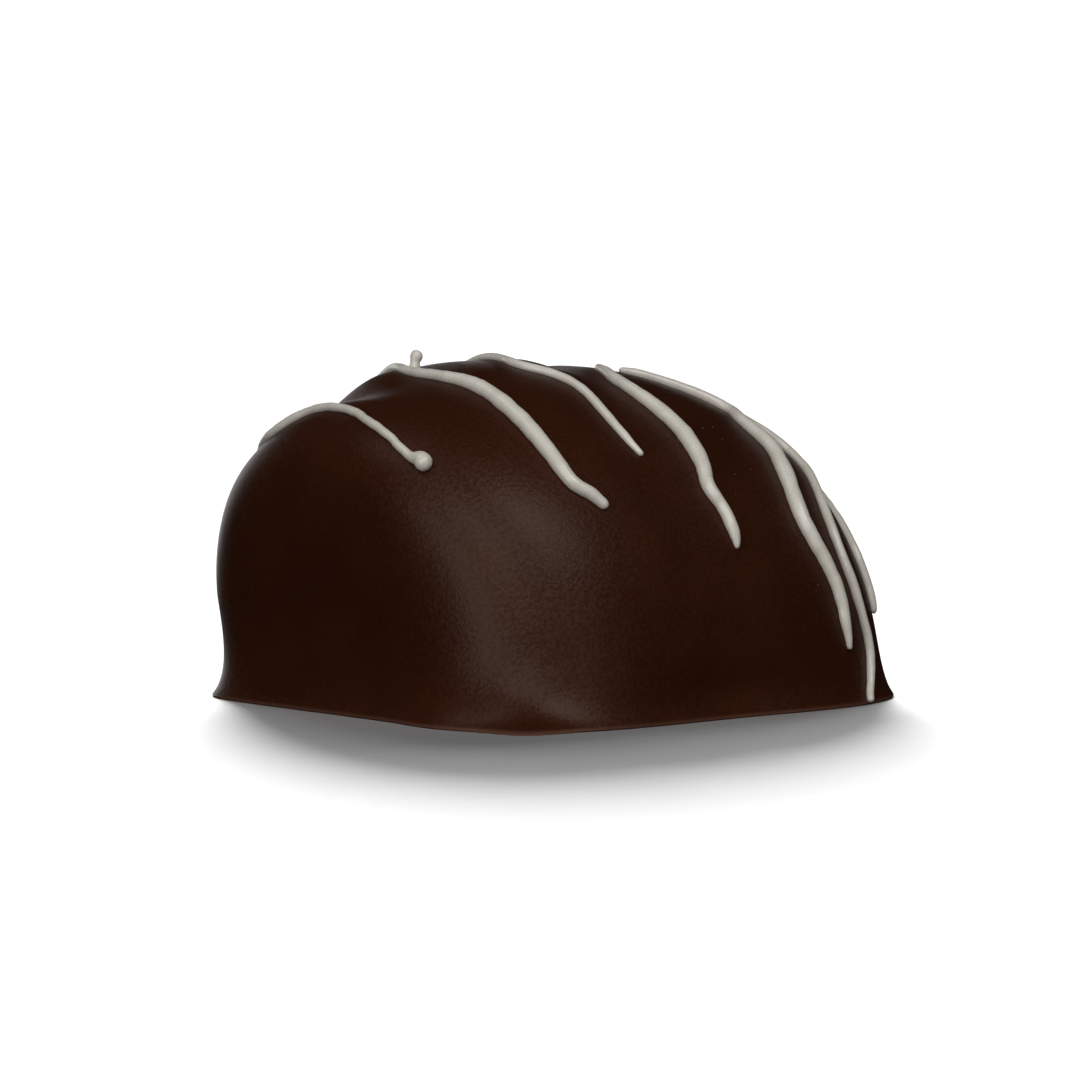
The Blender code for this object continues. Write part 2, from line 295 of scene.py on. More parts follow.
# The sweet's soft lights: azimuth and elevation in degrees, distance, width and height, and share of
# the power. Azimuth 0 is in front of the sweet and 90 at its right.
SOFT_LIGHTS = (
    ("left_light", (-76.0, 8.0, 0.5), (0.20, 0.20), 0.27),
    ("near_light", (-50.0, 31.0, 0.5), (0.25, 0.20), 0.33),
    ("key_light", (-5.0, 49.0, 0.5), (0.26, 0.16), 0.40),
    ("front_light", (-8.0, 8.0, 0.5), (0.20, 0.20), 0.075),
    ("high_light", (-112.0, 58.0, 0.5), (0.25, 0.20), 0.13),
    ("back_light", (160.0, 4.0, 0.5), (0.40, 0.18), 0.20),
)

# The floor's lights: azimuth, elevation and angle in degrees, and strength.
FLOOR_LIGHTS = (
    ("floor_key_light", 145.0, 24.0, 18.0, 5.4),
    ("floor_soft_light", 139.0, 25.0, 60.0, 2.1),
    ("floor_fill_light", -41.0, 50.0, 60.0, 0.5),
)


# ---------------------------------------------------------------- shape of the coating

def blend(start, end, value):
    """0 below start, 1 above end, and a smooth step between."""
    t = min(max((value - start) / (end - start), 0.0), 1.0)
    return t * t * (3.0 - 2.0 * t)


def wall_reach(wall, height):
    """Distance from the axis to a wall at this height."""
    rise = max(height - wall.straight, 0.0) / (HEIGHT - wall.straight)
    dome = math.sqrt(max(1.0 - rise ** wall.fullness, 0.0))
    flare = FOOT_FLARE * math.exp(-height / FOOT_HEIGHT)
    under = max(1.0 - height / FOOT_EDGE, 0.0)
    inset = FOOT_EDGE * (1.0 - math.sqrt(1.0 - under * under))
    return wall.reach * dome + flare - inset


def squareness(low_end, back, height):
    """Superellipse power of one corner, which falls off towards the crown."""
    if low_end:
        corner = LOW_BACK_CORNER if back else LOW_FRONT_CORNER
    else:
        corner = BLUNT_BACK_CORNER if back else BLUNT_FRONT_CORNER
    wall = corner.wall + (corner.foot - corner.wall) * math.exp(-height / CORNER_FADE)
    return wall + (CROWN_SQUARENESS - wall) * blend(*SQUARENESS_FALLS, height)


def pooling(degrees, height):
    """How far the pools at the foot push the outline out."""
    total = 0.0
    for pool in POOLS:
        turn = (degrees - pool.degrees + 180.0) % 360.0 - 180.0
        total += pool.reach * math.exp(-((turn / pool.spread) ** 2) / 2.0 - height / pool.height)
    return total


def hollowing(degrees, height):
    """How far the hollow takes the outline in."""
    turn = (degrees - HOLLOW.degrees) / HOLLOW.spread
    rise = (height - HOLLOW.height) / HOLLOW.tall
    return HOLLOW.depth * math.exp(-(turn * turn + rise * rise) / 2.0)


def swelling(x, y, height):
    """How much the crown's unevenness lifts a point."""
    total = 0.0
    for swell in SWELLS:
        along = (x - swell.x) / swell.along
        across = (y - swell.y) / swell.across
        total += swell.rise * math.exp(-(along * along + across * across) / 2.0)
    return total * blend(*SWELLS_GROW, height)


def coating_point(across_x, across_y, height):
    """Point of the coating at a height, in the direction of (across_x, across_y) on a square."""
    low_end = across_x > 0.0
    back = across_y > 0.0
    reach_x = max(wall_reach(LOW_END if low_end else BLUNT_END, height), LEAST_REACH)
    reach_y = max(wall_reach(BACK if back else FRONT, height), LEAST_REACH)
    angle = math.atan2(across_y * reach_y, across_x * reach_x)
    power = squareness(low_end, back, height)
    sum_of_powers = abs(math.cos(angle) / reach_x) ** power + abs(math.sin(angle) / reach_y) ** power
    radius = sum_of_powers ** (-1.0 / power)
    degrees = math.degrees(angle)
    radius += pooling(degrees, height) - hollowing(degrees, height)
    lean = blend(0.0, HEIGHT, height)
    x = radius * math.cos(angle) + CROWN_SHIFT[0] * lean
    y = radius * math.sin(angle) + CROWN_SHIFT[1] * lean
    return Vector((x, y, height + swelling(x, y, height)))


def place_on_coating(corner):
    """Where a point of the cube from -1 to 1 goes: its sides make the walls, its top the crown."""
    ring = max(abs(corner.x), abs(corner.y))
    if ring < 1.0 - ON_FACE:
        x, y = CROWN_SHIFT if corner.z > 0.0 else (0.0, 0.0)
        height = HEIGHT if corner.z > 0.0 else 0.0
        return Vector((x, y, height + swelling(x, y, height)))
    if corner.z > ON_FACE:
        height = SHOULDER + (HEIGHT - SHOULDER) * (1.0 - ring * ring)
        return coating_point(corner.x, corner.y, height)
    height = SHOULDER * ((corner.z + 1.0) / 2.0) ** ROW_CROWDING
    point = coating_point(corner.x, corner.y, height)
    if corner.z < -ON_FACE:
        return point * ring
    return point


# ---------------------------------------------------------------- node trees

def add(tree, kind, inputs=(), **settings):
    """A new node with its settings. An input is another node's output, or a value."""
    node = tree.nodes.new(kind)
    node.location = (220.0 * (len(tree.nodes) - 1), 0.0)
    for name, value in settings.items():
        setattr(node, name, value)
    for name, value in dict(inputs).items():
        if isinstance(value, bpy.types.NodeSocket):
            tree.links.new(value, node.inputs[name])
        else:
            node.inputs[name].default_value = value
    return node


def maths(tree, operation, *values):
    """Output of one Math node."""
    return add(tree, "ShaderNodeMath", enumerate(values), operation=operation).outputs[0]


def vector_maths(tree, operation, *values):
    """Output of one Vector Math node."""
    node = add(tree, "ShaderNodeVectorMath", enumerate(values), operation=operation)
    return node.outputs[0]


def scaled(tree, vector, factor):
    """Output of a Vector Math node that scales."""
    node = add(tree, "ShaderNodeVectorMath", {"Vector": vector, "Scale": factor}, operation="SCALE")
    return node.outputs[0]


def new_tree(name, sockets):
    """Geometry tree with a geometry in and out, and the named inputs (name, kind, default)."""
    tree = bpy.data.node_groups.new(name, "GeometryNodeTree")
    tree.is_modifier = True
    tree.interface.new_socket("Geometry", in_out="INPUT", socket_type="NodeSocketGeometry")
    tree.interface.new_socket("Geometry", in_out="OUTPUT", socket_type="NodeSocketGeometry")
    for socket_name, kind, default in sockets:
        socket = tree.interface.new_socket(socket_name, in_out="INPUT", socket_type="NodeSocket" + kind)
        if default is not None:
            socket.default_value = default
    return tree, tree.nodes.new("NodeGroupInput").outputs


def finish_tree(tree, geometry, material):
    """Ends a tree in Realize Instances, Set Material and its output."""
    real = add(tree, "GeometryNodeRealizeInstances", {"Geometry": geometry})
    dressed = add(tree, "GeometryNodeSetMaterial", {"Geometry": real.outputs[0], "Material": material})
    add(tree, "NodeGroupOutput", {"Geometry": dressed.outputs[0]})


def grow(item, tree, values):
    """Runs a tree on an object with these input values, and returns the result as a plain mesh."""
    modifier = item.modifiers.new(tree.name, "NODES")
    modifier.node_group = tree
    for socket in tree.interface.items_tree:
        if socket.in_out == "INPUT" and socket.name in values:
            modifier[socket.identifier] = values[socket.name]
    depsgraph = bpy.context.evaluated_depsgraph_get()
    mesh = bpy.data.meshes.new_from_object(item.evaluated_get(depsgraph))
    item.modifiers.remove(modifier)
    return mesh


def coat_tree():
    """Ripples and dimples in the coating. They go inwards only, and leave the base flat."""
    tree, given = new_tree("Uneven coat", (
        ("Ripple Size", "Float", 6.0 * MM),
        ("Ripple Depth", "Float", 0.06 * MM),
        ("Dimple Size", "Float", 0.9 * MM),
        ("Dimple Depth", "Float", 0.012 * MM),
        ("Level Foot", "Float", 0.8 * MM),
        ("Seed", "Float", 4.0),
        ("Material", "Material", None),
    ))
    place = add(tree, "GeometryNodeInputPosition").outputs[0]
    height = add(tree, "ShaderNodeSeparateXYZ", {0: place}).outputs["Z"]
    total = 0.0
    for size, depth in (("Ripple Size", "Ripple Depth"), ("Dimple Size", "Dimple Depth")):
        waves = add(tree, "ShaderNodeTexNoise", {
            "Vector": place,
            "W": given["Seed"],
            "Scale": maths(tree, "DIVIDE", 1.0, given[size]),
            "Detail": 1.0,
        }, noise_dimensions="4D").outputs["Fac"]
        total = maths(tree, "MULTIPLY_ADD", waves, given[depth], total)
    mask = add(tree, "ShaderNodeMapRange", {
        "Value": height,
        "From Min": 0.0,
        "From Max": given["Level Foot"],
    }, interpolation_type="SMOOTHSTEP").outputs[0]
    inward = maths(tree, "MULTIPLY", maths(tree, "MULTIPLY", total, mask), -1.0)
    normal = add(tree, "GeometryNodeInputNormal").outputs[0]
    moved = add(tree, "GeometryNodeSetPosition", {
        "Geometry": given["Geometry"],
        "Offset": scaled(tree, normal, inward),
    }).outputs[0]
    smooth = add(tree, "GeometryNodeSetShadeSmooth", {"Geometry": moved}).outputs[0]
    finish_tree(tree, smooth, given["Material"])
    return tree


def lay_on_coating(tree, given, around, along):
    """Raycast node from the line inside the sweet out to the coating, at these stations."""
    coating = add(tree, "GeometryNodeObjectInfo", {"Object": given["Coating"]}).outputs["Geometry"]
    core = add(tree, "ShaderNodeCombineXYZ", {"X": along, "Z": given["Core Height"]}).outputs[0]
    core = vector_maths(tree, "ADD", core, given["Axis"])
    outward = add(tree, "ShaderNodeCombineXYZ", {
        "Y": maths(tree, "MULTIPLY", maths(tree, "COSINE", around), -1.0),
        "Z": maths(tree, "SINE", around),
    }).outputs[0]
    return add(tree, "GeometryNodeRaycast", {
        "Target Geometry": coating,
        "Source Position": core,
        "Ray Direction": outward,
        "Ray Length": 1.0,
    })


def strand_tree():
    """Lays flat curves over the coating and gives them a round body with rounded ends.

    A curve comes in with X along the date, Y the turn round it in degrees as metres, and its radius.
    """
    tree, given = new_tree("Drizzle", (
        ("Coating", "Object", None),
        ("Axis", "Vector", AXIS),
        ("Core Height", "Float", CORE_HEIGHT),
        ("Lift", "Float", 0.45),
        ("Step", "Float", 0.12 * MM),
        ("Sides", "Int", 18),
        ("Wobble", "Float", 0.12 * MM),
        ("Wobble Size", "Float", 4.0),
        ("Thinning", "Float", 0.32),
        ("Thinning Size", "Float", 1.6 * MM),
        ("Seed", "Float", 11.0),
        ("Material", "Material", None),
    ))
    bent = add(tree, "GeometryNodeCurveSplineType", {0: given["Geometry"]}, spline_type="CATMULL_ROM")
    fine = add(tree, "GeometryNodeSetSplineResolution", {0: bent.outputs[0], "Resolution": 24})
    flat = add(tree, "GeometryNodeResampleCurve", {"Curve": fine.outputs[0]}, mode="EVALUATED")
    flat_place = add(tree, "GeometryNodeInputPosition").outputs[0]
    parts = add(tree, "ShaderNodeSeparateXYZ", {0: flat_place}).outputs
    turn = maths(tree, "RADIANS", maths(tree, "DIVIDE", parts["Y"], MM))
    sideways = add(tree, "ShaderNodeTexNoise", {
        "Vector": scaled(tree, flat_place, maths(tree, "DIVIDE", 1.0 / MM, given["Wobble Size"])),
        "W": given["Seed"],
        "Scale": 1.0,
        "Detail": 1.0,
    }, noise_dimensions="4D").outputs["Fac"]
    sideways = maths(tree, "MULTIPLY", maths(tree, "SUBTRACT", sideways, 0.5), given["Wobble"])
    along = maths(tree, "ADD", parts["X"], sideways)
    hit = lay_on_coating(tree, given, turn, along)
    radius = add(tree, "GeometryNodeInputRadius").outputs[0]
    lift = scaled(tree, hit.outputs["Hit Normal"], maths(tree, "MULTIPLY", radius, given["Lift"]))
    laid = add(tree, "GeometryNodeSetPosition", {
        "Geometry": flat.outputs[0],
        "Position": vector_maths(tree, "ADD", hit.outputs["Hit Position"], lift),
    })
    even = add(tree, "GeometryNodeResampleCurve", {
        "Curve": laid.outputs[0],
        "Length": given["Step"],
    }, mode="LENGTH")

    total = add(tree, "GeometryNodeSplineLength").outputs["Length"]
    length = add(tree, "GeometryNodeSplineParameter").outputs["Length"]
    end = maths(tree, "MINIMUM", length, maths(tree, "SUBTRACT", total, length))
    short = maths(tree, "MAXIMUM", maths(tree, "SUBTRACT", 1.0, maths(tree, "DIVIDE", end, radius)), 0.0)
    rounding = maths(tree, "SQRT", maths(tree, "SUBTRACT", 1.0, maths(tree, "MULTIPLY", short, short)))
    place = add(tree, "GeometryNodeInputPosition").outputs[0]
    thinning = add(tree, "ShaderNodeTexNoise", {
        "Vector": place,
        "W": given["Seed"],
        "Scale": maths(tree, "DIVIDE", 1.0, given["Thinning Size"]),
        "Detail": 2.0,
    }, noise_dimensions="4D").outputs["Fac"]
    thinning = maths(tree, "SUBTRACT", 1.0, maths(tree, "MULTIPLY", thinning, given["Thinning"]))
    tapered = add(tree, "GeometryNodeSetCurveRadius", {
        "Curve": even.outputs[0],
        "Radius": maths(tree, "MULTIPLY", maths(tree, "MULTIPLY", radius, rounding), thinning),
    })
    skin(tree, given, tapered.outputs[0])
    return tree


def tail_tree():
    """Gives a short upright curve, already in its place, a round body."""
    tree, given = new_tree("Drizzle tail", (
        ("Sides", "Int", 18),
        ("Material", "Material", None),
    ))
    bent = add(tree, "GeometryNodeCurveSplineType", {0: given["Geometry"]}, spline_type="CATMULL_ROM")
    fine = add(tree, "GeometryNodeSetSplineResolution", {0: bent.outputs[0], "Resolution": 4})
    skin(tree, given, fine.outputs[0])
    return tree


def skin(tree, given, curve):
    """Turns a curve with radii into a closed, smooth round body."""
    ring = add(tree, "GeometryNodeCurvePrimitiveCircle", {"Resolution": given["Sides"], "Radius": 1.0})
    radius = add(tree, "GeometryNodeInputRadius").outputs[0]
    body = add(tree, "GeometryNodeCurveToMesh", {
        "Curve": curve,
        "Profile Curve": ring.outputs[0],
        "Scale": radius,
        "Fill Caps": True,
    })
    welded = add(tree, "GeometryNodeMergeByDistance", {
        "Geometry": body.outputs[0],
        "Distance": WELD_DISTANCE,
    })
    smooth = add(tree, "GeometryNodeSetShadeSmooth", {"Geometry": welded.outputs[0]})
    finish_tree(tree, smooth.outputs[0], given["Material"])


def speck_tree():
    """Small uneven crumbs on the coating: some at given stations, and some scattered over the back.

    A given one comes in with X along the date, Y the turn round it in degrees as metres, Z its radius.
    """
    tree, given = new_tree("Specks", (
        ("Coating", "Object", None),
        ("Axis", "Vector", AXIS),
        ("Core Height", "Float", CORE_HEIGHT),
        ("Per Square Metre", "Float", 9000.0),
        ("Front Edge", "Float", 2.0 * MM),
        ("Foot Edge", "Float", 4.0 * MM),
        ("Radius", "Float", 0.05 * MM),
        ("Seed", "Int", 3),
        ("Material", "Material", None),
    ))
    parts = add(tree, "ShaderNodeSeparateXYZ", {0: add(tree, "GeometryNodeInputPosition").outputs[0]})
    turn = maths(tree, "RADIANS", maths(tree, "DIVIDE", parts.outputs["Y"], MM))
    hit = lay_on_coating(tree, given, turn, parts.outputs["X"])
    kept = add(tree, "GeometryNodeStoreNamedAttribute", {
        "Geometry": given["Geometry"],
        "Name": "speck_radius",
        "Value": parts.outputs["Z"],
    })
    placed = add(tree, "GeometryNodeSetPosition", {
        "Geometry": kept.outputs[0],
        "Position": hit.outputs["Hit Position"],
    })
    placed = add(tree, "GeometryNodeMeshToPoints", {"Mesh": placed.outputs[0]})

    coating = add(tree, "GeometryNodeObjectInfo", {"Object": given["Coating"]}).outputs["Geometry"]
    spot = add(tree, "ShaderNodeSeparateXYZ", {0: add(tree, "GeometryNodeInputPosition").outputs[0]})
    behind = maths(tree, "GREATER_THAN", spot.outputs["Y"], given["Front Edge"])
    above = maths(tree, "GREATER_THAN", spot.outputs["Z"], given["Foot Edge"])
    scattered = add(tree, "GeometryNodeDistributePointsOnFaces", {
        "Mesh": coating,
        "Selection": maths(tree, "MULTIPLY", behind, above),
        "Density": given["Per Square Metre"],
        "Seed": given["Seed"],
    })
    scattered = add(tree, "GeometryNodeStoreNamedAttribute", {
        "Geometry": scattered.outputs["Points"],
        "Name": "speck_radius",
        "Value": given["Radius"],
    })
    points = add(tree, "GeometryNodeJoinGeometry")
    tree.links.new(placed.outputs[0], points.inputs[0])
    tree.links.new(scattered.outputs[0], points.inputs[0])

    crumb = add(tree, "GeometryNodeMeshIcoSphere", {"Radius": 1.0, "Subdivisions": 2})
    wander = add(tree, "ShaderNodeTexNoise", {"Scale": CRUMB_DENT_SCALE})
    uneven = add(tree, "GeometryNodeSetPosition", {
        "Geometry": crumb.outputs["Mesh"],
        "Offset": scaled(tree, add(tree, "GeometryNodeInputPosition").outputs[0],
                         maths(tree, "SUBTRACT", wander.outputs["Fac"], CRUMB_DENT)),
    })
    size = add(tree, "FunctionNodeRandomValue", {"Seed": given["Seed"]}, data_type="FLOAT_VECTOR")
    size.inputs["Min"].default_value = CRUMB_LEAST
    size.inputs["Max"].default_value = CRUMB_MOST
    radius = add(tree, "GeometryNodeInputNamedAttribute", {"Name": "speck_radius"}).outputs[0]
    spin = add(tree, "FunctionNodeRandomValue", {"Seed": given["Seed"]}, data_type="FLOAT_VECTOR")
    spin.inputs["Max"].default_value = (math.tau, math.tau, math.tau)
    crumbs = add(tree, "GeometryNodeInstanceOnPoints", {
        "Points": points.outputs[0],
        "Instance": uneven.outputs[0],
        "Rotation": spin.outputs[0],
        "Scale": scaled(tree, size.outputs[0], radius),
    })
    finish_tree(tree, crumbs.outputs[0], given["Material"])
    return tree


# ---------------------------------------------------------------- finishes

def new_finish(name):
    """Material with its tree, which holds only a Principled shader and the output, and that shader."""
    material = bpy.data.materials.new(name)
    material.use_nodes = True
    surface = material.node_tree.nodes["Principled BSDF"]
    return material, material.node_tree, surface


def noise(tree, place, size, detail=2.0, roughness=0.5):
    """Noise of this size in metres, from 0 to 1."""
    return add(tree, "ShaderNodeTexNoise", {
        "Vector": place,
        "Scale": 1.0 / size,
        "Detail": detail,
        "Roughness": roughness,
    }).outputs["Fac"]


def ramp(tree, value, low, high, from_value, to_value):
    """Maps a value from low..high smoothly to from_value..to_value."""
    return add(tree, "ShaderNodeMapRange", {
        "Value": value,
        "From Min": low,
        "From Max": high,
        "To Min": from_value,
        "To Max": to_value,
    }, interpolation_type="SMOOTHSTEP").outputs[0]


def mix_colours(tree, factor, first, second):
    """Output of a node that mixes two colours by another node's output."""
    node = add(tree, "ShaderNodeMix", data_type="RGBA")
    for socket, value in (("Factor_Float", factor), ("A_Color", first), ("B_Color", second)):
        target = next(s for s in node.inputs if s.identifier == socket)
        if isinstance(value, bpy.types.NodeSocket):
            tree.links.new(value, target)
        else:
            target.default_value = (*value, 1.0)
    return next(s for s in node.outputs if s.identifier == "Result_Color")


def dark_chocolate(sizes):
    """Satin dark chocolate: mottled, faint bloom, fine pits, and a thin lighter foot edge of painted floor
    reflection.
    """
    material, tree, surface = new_finish("dark_chocolate")
    place = add(tree, "ShaderNodeTexCoord").outputs["Object"]
    height = add(tree, "ShaderNodeSeparateXYZ", {0: place}).outputs["Z"]

    cloud = ramp(tree, noise(tree, place, DARK_CLOUD_SIZE, 3.0), 0.35, 0.7, 0.0, 1.0)
    colour = mix_colours(tree, cloud, sizes.chocolate_colour, sizes.chocolate_light_colour)
    # Painted reflection of the floor: the lowest 0.35 mm of the foot is mixed towards a lighter colour.
    edge = ramp(tree, height, *FOOT_PAINTED_REFLECTION_FADES, 0.8, 0.0)
    colour = mix_colours(tree, edge, colour, sizes.chocolate_painted_reflection_colour)
    tree.links.new(colour, surface.inputs["Base Color"])

    mottle = noise(tree, place, sizes.mottle_size, 2.0, 0.6)
    smoothest = sizes.chocolate_roughness - ROUGHNESS_SPREAD
    roughest = sizes.chocolate_roughness + ROUGHNESS_SPREAD
    shine = ramp(tree, mottle, 0.3, 0.7, smoothest, roughest)
    tree.links.new(shine, surface.inputs["Roughness"])

    soft = add(tree, "ShaderNodeBump", {
        "Height": mottle,
        "Strength": 1.0,
        "Distance": sizes.mottle_depth,
    }).outputs[0]
    pits = ramp(tree, noise(tree, place, PIT_SIZE, 1.0), 0.2, 0.38, 0.0, 1.0)
    pitted = add(tree, "ShaderNodeBump", {
        "Height": pits,
        "Strength": 0.6,
        "Distance": PIT_DEPTH,
        "Normal": soft,
    }).outputs[0]
    tree.links.new(pitted, surface.inputs["Normal"])
    gloss = ramp(tree, mottle, 0.35, 0.65, *sizes.chocolate_gloss)
    tree.links.new(gloss, surface.inputs["Specular IOR Level"])
    surface.inputs["Specular Tint"].default_value = SHEEN_TINT
    return material


def white_chocolate(name, sizes, paleness=1.0):
    """Satin white chocolate with faint clouds and fine grain. Paleness is a share of its full colour."""
    material, tree, surface = new_finish(name)
    place = add(tree, "ShaderNodeTexCoord").outputs["Object"]
    cloud = ramp(tree, noise(tree, place, WHITE_CLOUD_SIZE, 3.0), 0.3, 0.7, 0.0, 1.0)
    colour, shade = (
        [channel * paleness for channel in full] for full in (sizes.white_colour, sizes.white_shade_colour)
    )
    tree.links.new(mix_colours(tree, cloud, colour, shade), surface.inputs["Base Color"])
    grain = noise(tree, place, WHITE_GRAIN_SIZE, 2.0, 0.6)
    shine = ramp(tree, grain, 0.3, 0.7, *WHITE_ROUGHNESS)
    tree.links.new(shine, surface.inputs["Roughness"])
    bump = add(tree, "ShaderNodeBump", {"Height": grain, "Strength": 0.5, "Distance": WHITE_GRAIN_DEPTH})
    tree.links.new(bump.outputs[0], surface.inputs["Normal"])
    surface.inputs["Specular IOR Level"].default_value = WHITE_SHEEN
    return material


def floor_finish(colour):
    """Matt pale board with a very fine tooth."""
    material, tree, surface = new_finish("pale_floor")
    place = add(tree, "ShaderNodeTexCoord").outputs["Object"]
    tooth = noise(tree, place, FLOOR_TOOTH_SIZE, 2.0)
    tone = ramp(tree, tooth, 0.3, 0.7, 0.0, 1.0)
    darker = tuple(channel * FLOOR_SHADE for channel in colour)
    tree.links.new(mix_colours(tree, tone, colour, darker), surface.inputs["Base Color"])
    surface.inputs["Roughness"].default_value = 0.9
    surface.inputs["Specular IOR Level"].default_value = 0.1
    return material


# ---------------------------------------------------------------- settings

class DateCoatingSettings(bpy.types.PropertyGroup):
    squares: IntProperty(
        name="Squares", description="Squares along an edge of the coating's grid", default=100, min=8
    )
    ripple_size: FloatProperty(
        name="Ripple Size", description="How wide the coating's ripples are", default=6.0 * MM, unit="LENGTH"
    )
    ripple_depth: FloatProperty(
        name="Ripple Depth", description="How deep they are", default=0.06 * MM, unit="LENGTH"
    )
    chocolate_colour: FloatVectorProperty(
        name="Chocolate", description="Colour of the coating", default=(0.034, 0.0076, 0.0020),
        subtype="COLOR", size=3, min=0.0, max=1.0,
    )
    chocolate_light_colour: FloatVectorProperty(
        name="Lighter Chocolate", description="Colour of its lighter clouds", default=(0.041, 0.0102, 0.0031),
        subtype="COLOR", size=3, min=0.0, max=1.0,
    )
    # Colour of the painted reflection of the floor along the coating's foot.
    chocolate_painted_reflection_colour: FloatVectorProperty(
        name="Thin Edge", description="Colour of the thin edge at the foot", default=(0.13, 0.06, 0.04),
        subtype="COLOR", size=3, min=0.0, max=1.0,
    )
    chocolate_roughness: FloatProperty(
        name="Roughness", description="How dull the coating is", default=0.40, subtype="FACTOR"
    )
    chocolate_gloss: FloatVectorProperty(
        name="Gloss", description="Least and most specular level of the mottling", default=(0.17, 0.32),
        size=2, min=0.0, max=1.0,
    )
    mottle_size: FloatProperty(
        name="Mottle Size", description="Grain of the coating's soft mottling", default=0.24 * MM,
        unit="LENGTH",
    )
    mottle_depth: FloatProperty(
        name="Mottle Depth", description="Depth of the mottling", default=0.024 * MM, unit="LENGTH"
    )


class DateDrizzleSettings(bpy.types.PropertyGroup):
    lift: FloatProperty(
        name="Lift", description="How far a strand's middle stands out, as a share of its radius",
        default=0.45, subtype="FACTOR",
    )
    step: FloatProperty(
        name="Step", description="Distance between a strand's rings", default=0.12 * MM, unit="LENGTH"
    )
    sides: IntProperty(name="Sides", description="Sides of a strand", default=18, min=6)
    wobble: FloatProperty(
        name="Wobble", description="How far a strand strays sideways", default=0.12 * MM, unit="LENGTH"
    )
    thinning: FloatProperty(
        name="Thinning", description="Share by which a strand gets thinner in places", default=0.32,
        subtype="FACTOR",
    )
    white_colour: FloatVectorProperty(
        name="White Chocolate", description="Colour of the drizzle", default=(0.82, 0.775, 0.69),
        subtype="COLOR", size=3, min=0.0, max=1.0,
    )
    white_shade_colour: FloatVectorProperty(
        name="White Shade", description="Colour of its duller clouds", default=(0.74, 0.695, 0.60),
        subtype="COLOR", size=3, min=0.0, max=1.0,
    )
    speck_paleness: FloatProperty(
        name="Speck Paleness", description="Colour of the thin specks, as a share of the drizzle's",
        default=0.16, subtype="FACTOR",
    )


class DateStudioSettings(bpy.types.PropertyGroup):
    floor_colour: FloatVectorProperty(
        name="Floor", description="Colour of the floor", default=(0.92, 0.92, 0.92),
        subtype="COLOR", size=3, min=0.0, max=1.0,
    )
    sweet_power: FloatProperty(
        name="Sweet Lights", description="Power of the soft lights on the sweet", default=1.7, unit="POWER"
    )
    floor_power: FloatProperty(
        name="Floor Lights", description="Strength of the lights that only the floor receives", default=1.0
    )
    ambient: FloatProperty(
        name="Ambient", description="Brightness all round", default=0.012, subtype="FACTOR"
    )


class ChocolateDateSettings(bpy.types.PropertyGroup):
    coating: PointerProperty(name="Coating", description="The dark chocolate", type=DateCoatingSettings)
    drizzle: PointerProperty(name="Drizzle", description="The white chocolate", type=DateDrizzleSettings)
    studio: PointerProperty(name="Studio", description="Floor, lights and camera", type=DateStudioSettings)


# ---------------------------------------------------------------- pieces

def settings():
    """The sweet's sizes and colours in this scene."""
    return bpy.context.scene.chocolate_date


def put_in_scene(name, data):
    """New object with this mesh, curve, light or camera."""
    item = bpy.data.objects.new(name, data)
    bpy.context.scene.collection.objects.link(item)
    return item


def hand_over(piece):
    """Ties a finished piece to the sweet's body, in place of the solid that stands for it."""
    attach(piece, BODY)
    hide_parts(NODE)


def flat_curves(name, strands):
    """Curves in the plane that the drizzle tree reads: X along, Y degrees as metres."""
    data = bpy.data.curves.new(name, "CURVE")
    data.dimensions = "3D"
    for stations in strands:
        spline = data.splines.new("POLY")
        spline.points.add(len(stations) - 1)
        for point, station in zip(spline.points, stations):
            point.co = (station.along * MM, station.around * MM, 0.0, 1.0)
            point.radius = station.radius * MM
    return data


class OBJECT_OT_date_coating(bpy.types.Operator):
    """Makes the dark chocolate coating"""

    bl_idname = "object.date_coating"
    bl_label = "Coating"

    def execute(self, context):
        sizes = settings().coating
        grid = bmesh.new()
        bmesh.ops.create_cube(grid, size=2.0)
        bmesh.ops.subdivide_edges(grid, edges=grid.edges[:], cuts=sizes.squares - 1, use_grid_fill=True)
        for vertex in grid.verts:
            vertex.co = place_on_coating(vertex.co) + AXIS
        mesh = bpy.data.meshes.new("coating")
        grid.to_mesh(mesh)
        grid.free()
        coating = put_in_scene("coating", mesh)
        coating.data = grow(coating, coat_tree(), {
            "Ripple Size": sizes.ripple_size,
            "Ripple Depth": sizes.ripple_depth,
            "Material": dark_chocolate(sizes),
        })
        hand_over(coating)
        return {"FINISHED"}


def tail_curve():
    """Upright curve of the tail, in its place on the coating."""
    coating = bpy.data.objects["coating"]
    around = math.radians(TAIL_FOOT.around)
    core = Vector((TAIL_FOOT.along * MM, 0.0, CORE_HEIGHT)) + AXIS
    hit, foot, normal, _ = coating.ray_cast(core, Vector((0.0, -math.cos(around), math.sin(around))))
    if not hit:
        raise RuntimeError("the tail's foot misses the coating")
    radius = TAIL_FOOT.radius * MM
    foot = foot + normal * radius * settings().drizzle.lift
    data = bpy.data.curves.new("drizzle_tail", "CURVE")
    data.dimensions = "3D"
    spline = data.splines.new("POLY")
    spline.points.add(len(TAIL_OUTLINE) - 1)
    for point, (height, share) in zip(spline.points, TAIL_OUTLINE):
        place = foot + Vector((TAIL_LEAN * height * abs(height), 0.0, TAIL_HEIGHT * height))
        point.co = (*place, 1.0)
        point.radius = radius * share
    return data


